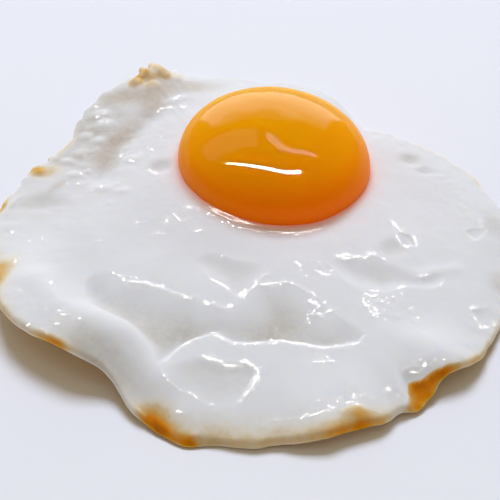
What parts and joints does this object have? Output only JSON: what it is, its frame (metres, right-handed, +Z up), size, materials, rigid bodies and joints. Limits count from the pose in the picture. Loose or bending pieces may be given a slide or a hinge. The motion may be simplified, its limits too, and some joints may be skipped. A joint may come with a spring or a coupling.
{
  "type": "fried egg",
  "caption": "Fried egg, sunny side up: irregular set egg white with a browned, partly lifted rim and a whole domed yolk seated towards the back.",
  "frame": {"origin": "under the middle of the egg's overall box, at the level it rests on", "axes": "+Z up; -Y to the front, where the white is widest; +Y to the back, where the yolk sits; +X to the right seen from the front"},
  "size_m": [0.1078, 0.1149, 0.0188],
  "materials": {
    "egg_white": "wet, set egg white, browned at the rim and underneath",
    "yolk": "glossy, soft egg yolk under its membrane"
  },
  "bodies": {
    "root": {"egg_white": "egg_white", "yolk": "yolk"}
  },
  "joints": []
}
